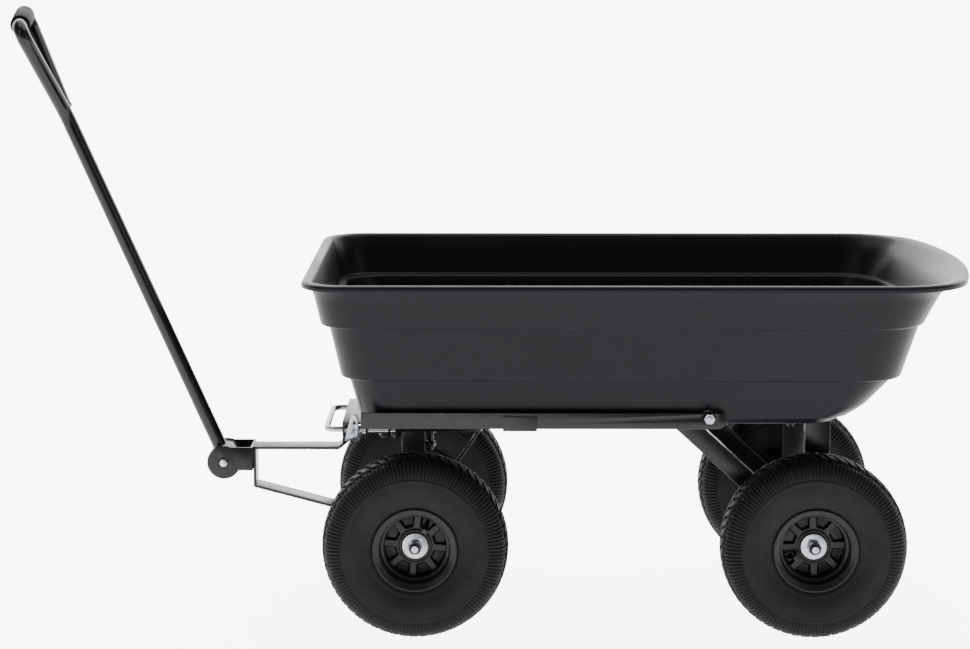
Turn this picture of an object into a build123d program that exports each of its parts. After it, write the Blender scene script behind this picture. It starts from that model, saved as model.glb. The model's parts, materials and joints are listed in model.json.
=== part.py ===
"""Garden tipping cart: poly tub on a hinged steel chassis, four pneumatic wheels, pull handle.

Millimetres, +Z up, +X towards the spout end, -X towards the handle. Positions are worked out
with X = 0 at the front axle and moved to the model's origin when each piece is written.
"""
import os
from math import atan2, cos, hypot, radians, sin, sqrt, tan

from build123d import *

os.makedirs("parts", exist_ok=True)

# ---------------------------------------------------------------- origin
ORIGIN_X = 98.04         # X of the model's origin behind the front axle
RUN_GAP = 0.05           # radial clearance of a running fit
TOUCH_GAP = 0.4          # gap between faces of different bodies that only meet

# ---------------------------------------------------------------- wheels
TYRE_D = 250.0
TYRE_W = 80.0
TYRE_WALL = 6.5
TRACK = 366.0            # between the tyres' centre planes
WHEELBASE = 532.0
BEAD_R = 51.0            # radius of the rim barrel where the tyre sits
RIM_FLANGE_R = 56.5
RIM_HALF_W = 31.0
RIM_WALL = 4.0
DISH_R = 41.5            # inner radius of the stepped ring round the hub pockets
HUB_R = 22.0
HUB_LENGTH = 46.0
HUB_FACE = 6.6           # hub's outer face outboard of the tyre's centre plane
WEB_T = 5.0
RIB_COUNT = 8
RIB_T = 6.0
BEARING_R = 17.5
BEARING_W = 10.0
VALVE_R = 4.0
WEB_OUT = 1.0            # web's outer face outboard of the tyre's centre plane
STEP_OUT = 16.0          # top of the stepped ring outboard of the centre plane
VALVE_PITCH_R = 36.0
VALVE_LEAN = 20.0
VALVE_ANGLE = {"fl": 62.0, "fr": 118.0, "rl": 205.0, "rr": 330.0}

# ---------------------------------------------------------------- axles
AXLE_D = 16.0
THREAD_D = 10.0
THREAD_END = TRACK / 2 + 28.0    # half of the axle's overall length
AXLE_WASHER_D = 35.0
AXLE_WASHER_T = 2.5
AXLE_NUT_AF = 17.0
AXLE_NUT_H = 11.0
BEAM_SIZE = 30.0
BEAM_WALL = 2.5
BEAM_END_T = 4.0
SPACER_LENGTH = 7.2
HUB_BACK = TRACK / 2 + HUB_FACE - HUB_LENGTH - TOUCH_GAP
BEAM_HALF = HUB_BACK - SPACER_LENGTH
SPACER_D = 24.0

# ---------------------------------------------------------------- front frame
RAIL_Z = TYRE_D + 36.0   # underside of the side rails, clear of the tyres
RAIL_OUT = TRACK / 2 + 15.0      # outer face of each side rail
RAIL_T = 3.0
RAIL_H = 22.0
RAIL_LEG = 25.0          # width of the rail's horizontal leg
RAIL_FRONT = -71.0
RAIL_REAR = WHEELBASE - 120.0
RAIL_LEG_REAR = WHEELBASE - 167.0    # the horizontal leg stops short of the pivot
PIVOT_X = WHEELBASE - 142.4
PIVOT_Z = RAIL_Z + 15.2
EAR_T = 3.0
EAR_R = 11.0
EAR_GAP = 0.5
PIVOT_BOLT_D = 8.0
PIVOT_HEAD_D = 16.0
PIVOT_HEAD_H = 2.2
CROSS_T = 3.0
FRONT_CROSS_W = 15.0
MID_CROSS_X = WHEELBASE - 270.0
MID_CROSS_W = 40.0
PAD_X = (117.0, 162.0)
PAD_T = 2.5
PAD_TOP = RAIL_Z + 17.0
PAD_LEG = 21.5           # reach of the pad under the rail

# ---------------------------------------------------------------- tub
TUB_WALL = 3.5
TUB_FLOOR = 5.0
TUB_Z = RAIL_Z + RAIL_T + TOUCH_GAP


def tub_level(up, front, rear, out, front_r, rear_r, crown_r):
    """One outline: height over the tub's base, ends from the axles, sides from the rails, radii."""
    return TUB_Z + up, front, WHEELBASE + rear, RAIL_OUT + out, front_r, rear_r, crown_r


TUB_BOTTOM = tub_level(0.0, -71.0, 44.0, -14.0, 40.0, 50.0, 1200.0)
TUB_CREASE = tub_level(22.6, -78.0, 79.0, -8.0, 42.0, 52.0, 1200.0)
TUB_LEDGE2_LOW = tub_level(62.6, -88.5, 117.0, 3.0, 45.0, 55.0, 1100.0)
TUB_LEDGE2_TOP = tub_level(62.6, -98.0, 127.0, 13.0, 48.0, 58.0, 1000.0)
TUB_LEDGE1_LOW = tub_level(135.6, -113.0, 152.0, 28.0, 50.0, 66.0, 900.0)
TUB_LEDGE1_TOP = tub_level(135.6, -123.0, 159.0, 38.0, 52.0, 74.0, 820.0)
TUB_WALL_TOP = tub_level(180.6, -132.0, 188.0, 48.5, 54.0, 86.0, 740.0)
RIM_LOW = tub_level(188.0, -147.0, 218.0, 63.0, 58.0, 104.0, 720.0)
RIM_EDGE = tub_level(194.0, -147.5, 219.0, 63.5, 58.0, 104.0, 720.0)
RIM_CREST = tub_level(198.0, -144.5, 215.5, 60.5, 56.0, 102.0, 720.0)
RIM_FLARE = tub_level(196.0, -138.0, 203.0, 55.0, 54.0, 96.0, 730.0)
RIM_SKIN = 3.0

# ---------------------------------------------------------------- steering
KING_X = -8.0
KING_D = 16.0
KING_HEAD_D = 30.0
KING_HEAD_H = 4.4
KING_NUT_D = 24.0
KING_NUT_H = 12.5
BOLSTER_W = 44.0
BOLSTER_T = 6.0
BOLSTER_BOX_HALF = 36.0
BOLSTER_BOX_WALL = 4.0
BOLSTER_PLATE_T = 5.0
BOLSTER_PLATE_Z = RAIL_Z - 34.6  # underside
BOLSTER_PLATE_X = 70.0
BOLSTER_PLATE_Y = 76.0
THRUST_D = 36.0
HEAD_PLATE_TOP = RAIL_Z - 37.0
HEAD_PLATE_T = 4.0
HEAD_PLATE_FRONT = -56.0
HEAD_PLATE_REAR = 88.0
HEAD_PLATE_HALF = 26.0
POST_SIZE = 32.0
POST_WALL = 2.5
STOP_R = 24.0            # stop bolt's distance from the kingpin
STOP_D = 8.0
STOP_SLOT_ANGLE = 50.0
STOP_TAIL = 35.0         # stop bolt's reach below the head plate's top
STOP_NUT_DROP = 23.0     # top of its second nut below the head plate's top
STRAP_T = 4.0
DRAWBAR_W = 35.0
BRACE_W = 25.0

# ---------------------------------------------------------------- drawbar and handle
YOKE_X = -272.7          # handle pivot
YOKE_Z = RAIL_Z - 85.0
YOKE_R = 23.5
YOKE_T = 3.0
YOKE_HALF = 28.0         # outer half width of the clevis
YOKE_LOW = YOKE_Z - 11.5
YOKE_TOP = YOKE_Z + 21.5
DRAWBAR_FRONT = -232.5
DRAWBAR_TOP = YOKE_Z + 18.5      # middle of the drawbar's upper arm
DRAWBAR_LOW = YOKE_Z - 36.0      # where the lower arm leaves the front face
DRAWBAR_STEP = (-84.0, -113.0)   # the upper arm steps down between these
BRACE_STEP = (56.0, 84.0)        # the brace's run under the head plate
BRACE_REACH = (22.0, -7.0)       # its lower end on the axle beam, from the axle
HANDLE_LEAN = 23.56      # from vertical, towards -X
HANDLE_TWIST = 4.0       # of the loop about the handle's axis
HANDLE_D = 20.0
HANDLE_WALL = 1.8
HUB_BOSS_R = 22.0
HUB_BOSS_GAP = 0.5
LOOP_START = 530.0       # along the handle from the pivot
LOOP_NEAR = (-74.0, 658.0)
LOOP_FAR = (74.0, 679.0)
LOOP_END = (20.0, 541.0)
LOOP_BEND_R = 60.0
LOOP_CORNER_R = 16.0
GRIP_D = HANDLE_D + 7.0
PLUG_T = 4.0
GRIP_LENGTH = 94.0

# ---------------------------------------------------------------- latch
BAIL_D = 8.0
BAIL_X = -125.0
BAIL_Z = RAIL_Z - 27.0
BAIL_HALF = 73.4
BAIL_TIP = -31.0
BAIL_CORNER_R = 12.0
BAIL_COLLAR_D = BAIL_D + 5.0
BAIL_COLLAR_T = 3.0
GUIDE_X = -103.0
GUIDE_T = 3.0
GUIDE_HALF = 82.0
GUIDE_LOW = RAIL_Z - 48.0
GUIDE_TOP = RAIL_Z - 16.0
CHEEK_T = 2.5
CHEEK_DROP = 14.0        # cheek's lower edge below the bail
CHEEK_RISE = 23.0        # its upper edge above the bail
CHEEK_BACK = (-80.0, -82.0)
CHEEK_TIP = -90.0
CHEEK_HOLE_X = -86.0
CHEEK_HOLE_R = 2.2
SPRING_WIRE = 1.4
SPRING_COILS = 6
STRIKER_X = (-54.0, -37.0)
STRIKER_T = 3.0
STRIKER_HALF = 88.0
STRIKER_EAR = 13.0       # half width of each ear

# ---------------------------------------------------------------- rear legs
LEG_OUT = BEAM_HALF      # outer face of posts and struts
LEG_DEPTH = 20.0
LEG_WALL = 2.5
POST_FRONT = WHEELBASE - 8.0
POST_REAR = WHEELBASE + 26.0
STRUT_TOP_X = (WHEELBASE - 195.25, WHEELBASE - 156.75)   # its ends on the side plate
STRUT_FOOT = 4.7         # strut's lower edge below the axle where it meets the beam
PLATE_T = 4.0
PLATE_X = (WHEELBASE - 207.0, WHEELBASE + 30.0)
PLATE_Y = (LEG_OUT - 24.0, LEG_OUT + 6.0)
TIE_X = (WHEELBASE - 92.0, WHEELBASE - 62.0)

# ---------------------------------------------------------------- fasteners
M8_AF = 13.0
M8_NUT_H = 6.5
M8_D = 8.0
M6_AF = 10.0
M6_NUT_H = 5.0
M6_HEAD_H = 4.5
M6_D = 6.0
TUB_BOLT_HEAD_D = 18.0
TUB_BOLT_HEAD_H = 2.2
POCKET_DEPTH = 2.4       # the heads sit flush in pockets in the floor
POCKET_GAP = 0.6
BOLT_TAIL = 3.0
TUB_BOLT_PLACES = ((WHEELBASE - 132.0, LEG_OUT - 10.0), (WHEELBASE - 27.0, LEG_OUT - 10.0))
STRIKER_BOLT_PLACE = (-47.5, 40.0)


# ================================================================ helpers
def save(name, shape):
    """Write one node, moved to the model's origin."""
    moved = [Pos(-ORIGIN_X, 0, 0) * solid for solid in shape.solids()]
    export_step(Compound(moved) if len(moved) > 1 else moved[0], f"parts/{name}.step")


def block(x0, x1, y0, y1, z0, z1):
    """Box between two corners."""
    size = (abs(x1 - x0), abs(y1 - y0), abs(z1 - z0))
    return Pos((x0 + x1) / 2, (y0 + y1) / 2, (z0 + z1) / 2) * Box(*size)


def rod_y(x, z, radius, y0, y1):
    """Round bar along Y."""
    bar = Cylinder(radius, abs(y1 - y0))
    return Pos(x, (y0 + y1) / 2, z) * Rot(90, 0, 0) * bar


def rod_z(x, y, radius, z0, z1):
    """Round bar along Z."""
    return Pos(x, y, (z0 + z1) / 2) * Cylinder(radius, abs(z1 - z0))


def rod_x(y, z, radius, x0, x1):
    """Round bar along X."""
    return Pos((x0 + x1) / 2, y, z) * Rot(0, 90, 0) * Cylinder(radius, abs(x1 - x0))


def hexagon(across_flats, height):
    """Hexagonal prism standing on Z = 0."""
    return extrude(RegularPolygon(across_flats / 2, 6, major_radius=False), height)


def mirrored(shape):
    """Both hands of a piece made on the -Y side."""
    return shape, mirror(shape, Plane.XZ)


def slab_xz(points, y0, y1):
    """Prism of a polygon given in X and Z, between two Y values."""
    outline = make_face(Polyline([(x, 0, z) for x, z in points], close=True))
    thick = abs(y1 - y0)
    return Pos(0, max(y0, y1), 0) * extrude(outline, thick, dir=(0, -1, 0))


def strap(points, thickness):
    """Outline of a bent flat bar whose centreline passes through the points."""
    left = []
    right = []
    for i, (x, z) in enumerate(points):
        before = points[max(i - 1, 0)]
        after = points[min(i + 1, len(points) - 1)]
        into = atan2(z - before[1], x - before[0]) if i > 0 else atan2(after[1] - z, after[0] - x)
        out = atan2(after[1] - z, after[0] - x) if i < len(points) - 1 else into
        middle = (into + out) / 2
        if abs(out - into) > 3.1416:
            middle += 3.14159265
        reach = thickness / 2 / cos((out - into) / 2)
        reach = abs(reach)
        left.append((x - reach * sin(middle), z + reach * cos(middle)))
        right.append((x + reach * sin(middle), z - reach * cos(middle)))
    return left + right[::-1]


def rounded_path(points, radii):
    """Straight runs joined by tangent arcs; one radius for each inner point."""
    edges = []
    start = Vector(*points[0])
    for here, ahead, radius in zip(points[1:-1], points[2:], radii):
        corner = Vector(*here)
        back = (start - corner).normalized()
        on = (Vector(*ahead) - corner).normalized()
        half = back.get_angle(on) / 2
        reach = radius / tan(radians(half))
        first = corner + back * reach
        last = corner + on * reach
        bisector = (back + on).normalized()
        middle = corner + bisector * (radius / sin(radians(half)) - radius)
        edges.append(Line(start, first))
        edges.append(ThreePointArc(first, middle, last))
        start = last
    edges.append(Line(start, Vector(*points[-1])))
    return Wire([e.edge() for e in edges])


# ================================================================ tub
def tub_section(level, inset=0.0, z=None):
    """Plan outline of the tub at one level: flat front, crowned rear, rounded corners."""
    height, front, tip, half, front_r, rear_r, crown_r = level
    height = height if z is None else z
    front += inset
    tip -= inset
    half -= inset
    front_r = max(front_r - inset, 5.0)
    rear_r = max(rear_r - inset, 5.0)
    crown_r -= inset
    crown_x = tip - crown_r
    corner_x = crown_x + sqrt((crown_r - rear_r) ** 2 - (half - rear_r) ** 2)
    spread = hypot(corner_x - crown_x, half - rear_r)
    meet_x = crown_x + (corner_x - crown_x) * crown_r / spread
    meet_y = (half - rear_r) * crown_r / spread
    lean = atan2(half - rear_r, corner_x - crown_x)
    mid = (lean + radians(90)) / 2
    mid_x = corner_x + rear_r * cos(mid)
    mid_y = half - rear_r + rear_r * sin(mid)
    nip = front_r * (1 - cos(radians(45)))
    edges = [
        Line((front + front_r, -half), (corner_x, -half)),
        ThreePointArc((corner_x, -half), (mid_x, -mid_y), (meet_x, -meet_y)),
        ThreePointArc((meet_x, -meet_y), (tip, 0), (meet_x, meet_y)),
        ThreePointArc((meet_x, meet_y), (mid_x, mid_y), (corner_x, half)),
        Line((corner_x, half), (front + front_r, half)),
        ThreePointArc((front + front_r, half), (front + nip, half - nip), (front, half - front_r)),
        Line((front, half - front_r), (front, front_r - half)),
        ThreePointArc((front, front_r - half), (front + nip, nip - half), (front + front_r, -half)),
    ]
    return Pos(0, 0, height) * make_face([e.edge() for e in edges])


def tub_layer(low, high, inset=0.0, low_z=None, high_z=None):
    """Straight-sided layer between two outlines."""
    lower = tub_section(low, inset, low_z)
    upper = tub_section(high, inset, high_z)
    return loft([lower.face(), upper.face()], ruled=True)


outer = tub_layer(TUB_BOTTOM, TUB_CREASE)
outer += tub_layer(TUB_CREASE, TUB_LEDGE2_LOW)
outer += tub_layer(TUB_LEDGE2_TOP, TUB_LEDGE1_LOW)
outer += tub_layer(TUB_LEDGE1_TOP, TUB_WALL_TOP)
outer += tub_layer(TUB_WALL_TOP, RIM_FLARE)

# The rolled rim: a crowned top skin with a lip turned down round its edge.
lip = tub_layer(RIM_LOW, RIM_EDGE) - tub_layer(RIM_LOW, RIM_EDGE, RIM_SKIN)
crown = tub_layer(RIM_EDGE, RIM_CREST)
outer = outer + lip + crown

floor_z = TUB_Z + TUB_FLOOR
ledge2_z = TUB_LEDGE2_TOP[0] + TUB_WALL
ledge1_z = TUB_LEDGE1_TOP[0] + TUB_WALL
inner = tub_layer(TUB_BOTTOM, TUB_CREASE, TUB_WALL, floor_z)
inner += tub_layer(TUB_CREASE, TUB_LEDGE2_LOW, TUB_WALL, None, ledge2_z)
inner += tub_layer(TUB_LEDGE2_TOP, TUB_LEDGE1_LOW, TUB_WALL, ledge2_z, ledge1_z)
inner += tub_layer(TUB_LEDGE1_TOP, TUB_WALL_TOP, TUB_WALL, ledge1_z)
inner += tub_layer(TUB_WALL_TOP, RIM_FLARE, TUB_WALL, None, RIM_CREST[0] + 0.5)
tub = outer - inner

# ---------------------------------------------------------------- tub bolts and plates
plate_low = TUB_Z - PLATE_T
striker_low = TUB_Z - STRIKER_T
sx, sy = STRIKER_BOLT_PLACE
bolt_places = [(sx, sy, striker_low, M6_D, M6_AF, M6_NUT_H)]
for x, y in TUB_BOLT_PLACES:
    bolt_places.append((x, y, plate_low, M8_D, M8_AF, M8_NUT_H))

pocket_z = floor_z - POCKET_DEPTH
tub_bolts = []
for x, off_y, seat, bolt_d, across, nut_h in bolt_places:
    head_r = TUB_BOLT_HEAD_D * bolt_d / M8_D / 2
    for y in (-off_y, off_y):
        bolt = rod_z(x, y, head_r, pocket_z, pocket_z + TUB_BOLT_HEAD_H)
        bolt += rod_z(x, y, bolt_d / 2, seat - nut_h - BOLT_TAIL, pocket_z)
        nut = Pos(x, y, seat - nut_h) * hexagon(across, nut_h)
        nut -= rod_z(x, y, bolt_d / 2, seat - nut_h - 1, seat + 1)
        tub -= rod_z(x, y, bolt_d / 2, TUB_Z - 1, floor_z + 1)
        tub -= rod_z(x, y, head_r + POCKET_GAP, pocket_z, floor_z + 1)
        tub_bolts += [bolt, nut]
save("tub", tub)
save("tub_bolts", Compound([s for piece in tub_bolts for s in piece.solids()]))

# Side plates under the tub, each with an ear that carries the tipping pivot.
ear_out = RAIL_OUT - RAIL_T - EAR_GAP
ear_in = ear_out - EAR_T
plate = block(PLATE_X[0], PLATE_X[1], -PLATE_Y[1], -PLATE_Y[0], plate_low, TUB_Z)
plate += block(PIVOT_X - EAR_R, PIVOT_X + EAR_R, -ear_out, -PLATE_Y[1], plate_low, TUB_Z)
plate += block(PIVOT_X - EAR_R, PIVOT_X + EAR_R, -ear_out, -ear_in, plate_low, PIVOT_Z)
plate += rod_y(PIVOT_X, PIVOT_Z, EAR_R, -ear_out, -ear_in)
plate -= rod_y(PIVOT_X, PIVOT_Z, PIVOT_BOLT_D / 2, -ear_out - 1, -ear_in + 1)
for x, y in TUB_BOLT_PLACES:
    plate -= rod_z(x, -y, M8_D / 2, plate_low - 1, TUB_Z + 1)
for name, piece in zip(("side_plate_l", "side_plate_r"), mirrored(plate)):
    save(name, piece)
save("rear_tie", block(TIE_X[0], TIE_X[1], -PLATE_Y[1], PLATE_Y[1], plate_low - PLATE_T, plate_low))

# Pivot bolts: thin head inside the ear, hexagonal nut outside the rail.
bolts = []
for side in (-1, 1):
    nut_face = RAIL_OUT + TOUCH_GAP
    bolt_end = nut_face + M8_NUT_H + 1.5
    bolt = rod_y(PIVOT_X, PIVOT_Z, PIVOT_HEAD_D / 2, side * (ear_in - PIVOT_HEAD_H), side * ear_in)
    bolt += rod_y(PIVOT_X, PIVOT_Z, PIVOT_BOLT_D / 2, side * ear_in, side * bolt_end)
    turn = Rot(90, 0, 0) if side < 0 else Rot(-90, 0, 0)
    nut = Pos(PIVOT_X, side * nut_face, PIVOT_Z) * turn * hexagon(M8_AF, M8_NUT_H)
    nut -= rod_y(PIVOT_X, PIVOT_Z, PIVOT_BOLT_D / 2, side * RAIL_OUT, side * (bolt_end + 1))
    bolts += [bolt, nut]
save("pivot_bolts", Compound([s for piece in bolts for s in piece.solids()]))

# ---------------------------------------------------------------- rear legs
axle_z = TYRE_D / 2
beam_top = axle_z + BEAM_SIZE / 2
leg_in = LEG_OUT - LEG_DEPTH
post = block(POST_FRONT, POST_REAR, -LEG_OUT, -leg_in, beam_top, plate_low)
hollow_x = (POST_FRONT + LEG_WALL, POST_REAR - LEG_WALL)
post -= block(*hollow_x, -LEG_OUT + LEG_WALL, -leg_in - LEG_WALL, beam_top - 1, plate_low + 1)
save("rear_posts", Compound([s for piece in mirrored(post) for s in piece.solids()]))

beam_front = WHEELBASE - BEAM_SIZE / 2
strut_drop = plate_low - axle_z + STRUT_FOOT
slope = atan2(strut_drop, beam_front - STRUT_TOP_X[0])


def strut_outline(shrink):
    """Sloping channel, cut square against the plate, the beam and the post."""
    low_x = STRUT_TOP_X[0] + shrink / sin(slope)
    high_x = STRUT_TOP_X[1] - shrink / sin(slope)
    low_end = plate_low - tan(slope) * (beam_front - low_x)
    high_end = plate_low - tan(slope) * (POST_FRONT - high_x)
    upper = [(low_x, plate_low), (high_x, plate_low), (POST_FRONT, high_end)]
    return upper + [(POST_FRONT, beam_top), (beam_front, beam_top), (beam_front, low_end)]


strut = slab_xz(strut_outline(0.0), -LEG_OUT, -leg_in)
strut -= slab_xz(strut_outline(LEG_WALL), -LEG_OUT + LEG_WALL, -leg_in + 1)
save("rear_struts", Compound([s for piece in mirrored(strut) for s in piece.solids()]))


# ================================================================ axles
def axle_set(x, prefix):
    """Square beam, through shaft, spacers, washers and lock nuts of one axle."""
    half = BEAM_SIZE / 2
    beam = block(x - half, x + half, -BEAM_HALF, BEAM_HALF, axle_z - half, beam_top)
    hollow = half - BEAM_WALL
    end = BEAM_HALF - BEAM_END_T
    beam -= block(x - hollow, x + hollow, -end, end, axle_z - hollow, axle_z + hollow)
    beam -= rod_y(x, axle_z, AXLE_D / 2, -BEAM_HALF - 1, BEAM_HALF + 1)
    save(prefix + "_axle_beam", beam)
    seat = TRACK / 2 + HUB_FACE + TOUCH_GAP
    shaft = rod_y(x, axle_z, AXLE_D / 2, -seat, seat)
    shaft += rod_y(x, axle_z, THREAD_D / 2, -THREAD_END, THREAD_END)
    save(prefix + "_axle_shaft", shaft)
    spacers = []
    washers = []
    nuts = []
    for side in (-1, 1):
        spacer = rod_y(x, axle_z, SPACER_D / 2, side * BEAM_HALF, side * HUB_BACK)
        bore = rod_y(x, axle_z, AXLE_D / 2, side * (BEAM_HALF - 1), side * (HUB_BACK + 1))
        spacers.append(spacer - bore)
        outer_face = seat + AXLE_WASHER_T
        washer = rod_y(x, axle_z, AXLE_WASHER_D / 2, side * seat, side * outer_face)
        bore = rod_y(x, axle_z, THREAD_D / 2, side * (seat - 1), side * (outer_face + 1))
        washers.append(washer - bore)
        turn = Rot(90, 0, 0) if side < 0 else Rot(-90, 0, 0)
        nut = Pos(x, side * outer_face, axle_z) * turn * hexagon(AXLE_NUT_AF, AXLE_NUT_H)
        nuts.append(nut - rod_y(x, axle_z, THREAD_D / 2, side * seat, side * (outer_face + 20)))
    save(prefix + "_spacers", Compound([s for piece in spacers for s in piece.solids()]))
    save(prefix + "_washers", Compound([s for piece in washers for s in piece.solids()]))
    save(prefix + "_axle_nuts", Compound([s for piece in nuts for s in piece.solids()]))


axle_set(0.0, "front")
axle_set(WHEELBASE, "rear")


# ================================================================ wheels
def ring(profile):
    """Solid of revolution about Y from (radius, y) points."""
    return revolve(make_face(Polyline(profile, close=True)), Axis.Y)


def tyre():
    """Balloon tyre, open between its beads."""
    half = TYRE_W / 2
    crown = TYRE_D / 2
    side = [
        (BEAD_R, RIM_HALF_W - 4.0),
        (BEAD_R + 8, RIM_HALF_W + 1.0),
        (BEAD_R + 20, half - 2.0),
        (BEAD_R + 34, half),
        (crown - 24, half - 0.8),
        (crown - 12, half - 4.5),
        (crown - 4, half - 13.0),
        (crown - 0.8, half - 27.0),
    ]
    outside = side + [(crown, 0.0)] + [(r, -y) for r, y in side[::-1]]
    w = TYRE_WALL
    core = [
        (BEAD_R, RIM_HALF_W - 4.0 - w),
        (BEAD_R + 9, RIM_HALF_W + 0.5 - w),
        (BEAD_R + 20, half - 2.0 - w),
        (BEAD_R + 34, half - w),
        (crown - 25, half - 1.2 - w),
        (crown - 15, half - 6.5 - w),
        (crown - 10, half - 16.0 - w),
    ]
    inside = core + [(crown - 9, 0.0)] + [(r, -y) for r, y in core[::-1]]
    edges = [
        Spline(outside).edge(),
        Line(outside[-1], inside[-1]).edge(),
        Spline(inside[::-1]).edge(),
        Line(inside[0], outside[0]).edge(),
    ]
    return revolve(make_face(edges), Axis.Y)


def rim():
    """One-piece rim: barrel with flanges, stepped ring, web, ribs and hub tube; outboard is +Y."""
    barrel_in = BEAD_R - RIM_WALL
    flange_in = RIM_HALF_W - 4.0
    hub_out = HUB_FACE
    hub_back = HUB_FACE - HUB_LENGTH
    web_out = WEB_OUT
    web_in = web_out - WEB_T
    step_out = STEP_OUT
    step_r = DISH_R + 3.0
    # The bead seats against the flange, so the flange stands just outside the tyre's bead.
    profile = [
        (barrel_in, -RIM_HALF_W),
        (RIM_FLANGE_R, -RIM_HALF_W - 3.0),
        (RIM_FLANGE_R, -RIM_HALF_W - 1.5),
        (BEAD_R, -flange_in - 0.5),
        (BEAD_R, flange_in + 0.5),
        (RIM_FLANGE_R, RIM_HALF_W + 1.5),
        (RIM_FLANGE_R, RIM_HALF_W + 3.0),
        (barrel_in, RIM_HALF_W),
        (barrel_in, step_out),
        (step_r, step_out),
        (DISH_R, step_out - 2.0),
        (DISH_R, web_out),
        (HUB_R, web_out),
        (HUB_R, hub_out),
        (BEARING_R, hub_out),
        (BEARING_R, hub_back),
        (HUB_R, hub_back),
        (HUB_R, web_in),
        (barrel_in, web_in),
    ]
    body = ring(profile)
    for i in range(RIB_COUNT):
        rib = block(HUB_R - 1.5, DISH_R + 1, web_out - 1, hub_out - 1, -RIB_T / 2, RIB_T / 2)
        body += Rot(0, (i + 0.5) * 360 / RIB_COUNT, 0) * rib
    return body


def bearings():
    """Two flangeless hub bearings with a running bore."""
    rings = []
    bore = AXLE_D / 2 + RUN_GAP
    for y0 in (HUB_FACE - BEARING_W, HUB_FACE - HUB_LENGTH):
        y1 = y0 + BEARING_W
        rings.append(ring([(bore, y0), (BEARING_R, y0), (BEARING_R, y1), (bore, y1)]))
    return rings


def valve():
    """Leaning valve stem with a cap, on the +X side of the hub."""
    place = Pos(VALVE_PITCH_R, WEB_OUT, 0) * Rot(0, 0, VALVE_LEAN)
    stem = place * (Pos(0, 9, 0) * Rot(90, 0, 0) * Cylinder(VALVE_R * 0.8, 18))
    cap = place * (Pos(0, 22, 0) * Rot(90, 0, 0) * Cylinder(VALVE_R, 9))
    inside = VALVE_PITCH_R - VALVE_R
    outside = VALVE_PITCH_R + VALVE_R
    foot_top = WEB_OUT + 1.5
    foot = ring([(inside, WEB_OUT), (outside, WEB_OUT), (outside, foot_top), (inside, foot_top)])
    foot &= block(inside - 2, outside + 2, 0, foot_top + 1, -6, 6)
    grown = stem + cap + foot
    return grown & block(HUB_R, DISH_R + 20, WEB_OUT, 60, -20, 20)


tyre_shape = tyre()
rim_shape = rim()
bearing_shapes = bearings()
valve_shape = valve()
corners = (("fl", 0.0, -1), ("fr", 0.0, 1), ("rl", WHEELBASE, -1), ("rr", WHEELBASE, 1))
for tag, x, side in corners:
    # A wheel on the -Y side is turned half round Z so that its outer face looks outwards.
    place = Pos(x, side * TRACK / 2, axle_z) * Rot(0, 0, 0 if side > 0 else 180)
    save("tyre_" + tag, place * tyre_shape)
    save("bearings_" + tag, Compound([s for piece in bearing_shapes for s in (place * piece).solids()]))
    angle = VALVE_ANGLE[tag]
    turn = Rot(0, -angle if side > 0 else angle + 180, 0)
    save("rim_" + tag, place * turn * rim_shape)
    save("valve_" + tag, place * turn * valve_shape)

# ================================================================ front frame
rail_in = RAIL_OUT - RAIL_T
leg_edge = RAIL_OUT - RAIL_LEG
leg_top = RAIL_Z + RAIL_T
rail_end = RAIL_REAR - RAIL_H / 2
rail = block(RAIL_FRONT, rail_end, -RAIL_OUT, -rail_in, RAIL_Z, RAIL_Z + RAIL_H)
rail += rod_y(rail_end, RAIL_Z + RAIL_H / 2, RAIL_H / 2, -RAIL_OUT, -rail_in)
rail += block(RAIL_FRONT, RAIL_LEG_REAR, -RAIL_OUT, -leg_edge, RAIL_Z, leg_top)
rail -= rod_y(PIVOT_X, PIVOT_Z, PIVOT_BOLT_D / 2 + RUN_GAP, -RAIL_OUT - 1, -rail_in + 1)
for name, piece in zip(("side_rail_l", "side_rail_r"), mirrored(rail)):
    save(name, piece)

# Rubber pads hooked under each rail.
pad = block(PAD_X[0], PAD_X[1], -RAIL_OUT - PAD_T, -RAIL_OUT, RAIL_Z - PAD_T, PAD_TOP)
pad += block(PAD_X[0], PAD_X[1], -RAIL_OUT, -RAIL_OUT + PAD_LEG - PAD_T, RAIL_Z - PAD_T, RAIL_Z)
save("rail_pads", Compound([s for piece in mirrored(pad) for s in piece.solids()]))

# Cross-members butt against the rails' horizontal legs.
cross_back = RAIL_FRONT + FRONT_CROSS_W
front_cross = block(RAIL_FRONT, cross_back, -leg_edge, leg_edge, RAIL_Z, leg_top)
apron_half = GUIDE_HALF + 8
apron_low = BAIL_Z - 9
apron_back = RAIL_FRONT + CROSS_T
front_cross += block(RAIL_FRONT, apron_back, -apron_half, apron_half, apron_low, RAIL_Z)
bail_hole_r = BAIL_D / 2 + TOUCH_GAP
for side in (-1, 1):
    front_cross -= rod_x(side * BAIL_HALF, BAIL_Z, bail_hole_r, RAIL_FRONT - 1, apron_back + 1)
save("front_cross", front_cross)
mid_back = MID_CROSS_X + MID_CROSS_W
save("mid_cross", block(MID_CROSS_X, mid_back, -leg_edge, leg_edge, RAIL_Z, leg_top))

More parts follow.
